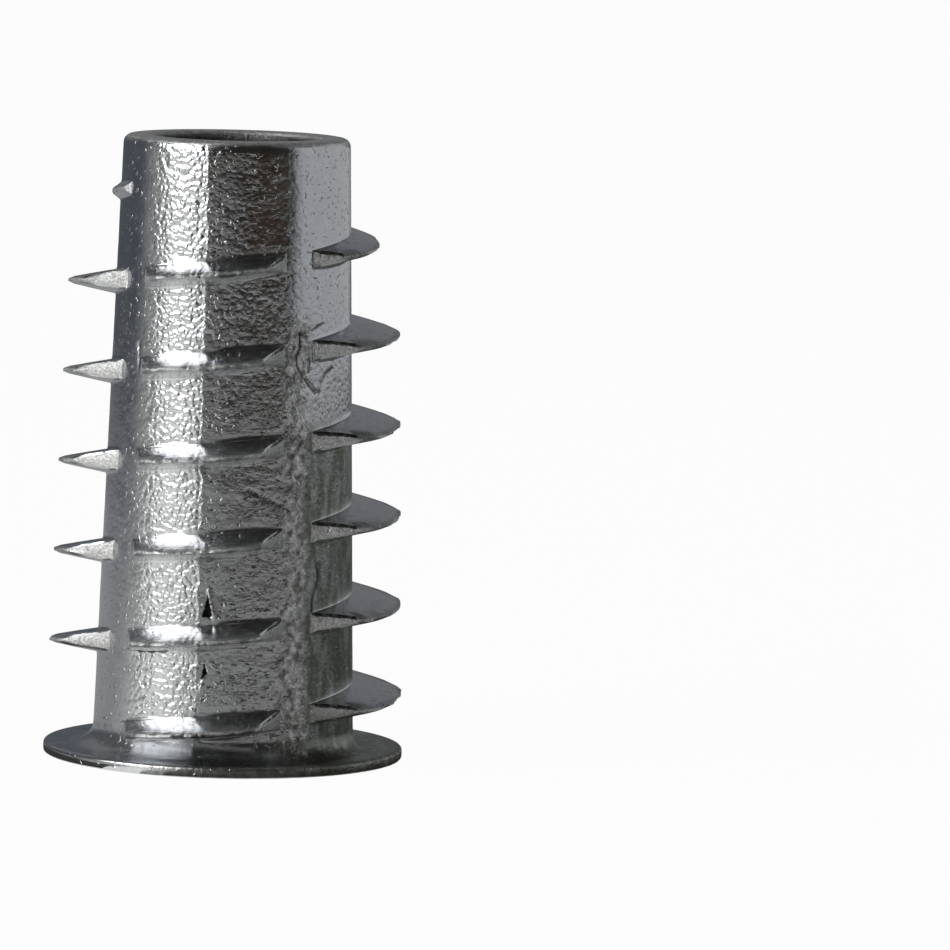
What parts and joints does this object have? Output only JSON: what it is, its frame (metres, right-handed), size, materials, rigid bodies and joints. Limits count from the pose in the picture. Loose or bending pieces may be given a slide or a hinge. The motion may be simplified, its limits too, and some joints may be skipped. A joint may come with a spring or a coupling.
{
  "type": "threaded insert",
  "caption": "Flanged cast wood insert with an interrupted coarse outside thread, a hexagon drive socket at the flange and a machine-threaded bore through to the tip.",
  "frame": {"origin": "centre of the flange's outer face, on which the insert stands", "axes": "+Z along the axis from the flange to the tip; -Y is the side that the picture shows"},
  "size_m": [0.0144, 0.0144, 0.025],
  "materials": {
    "zinc": "satin"
  },
  "bodies": {
    "root": {"insert": "zinc"}
  },
  "joints": []
}
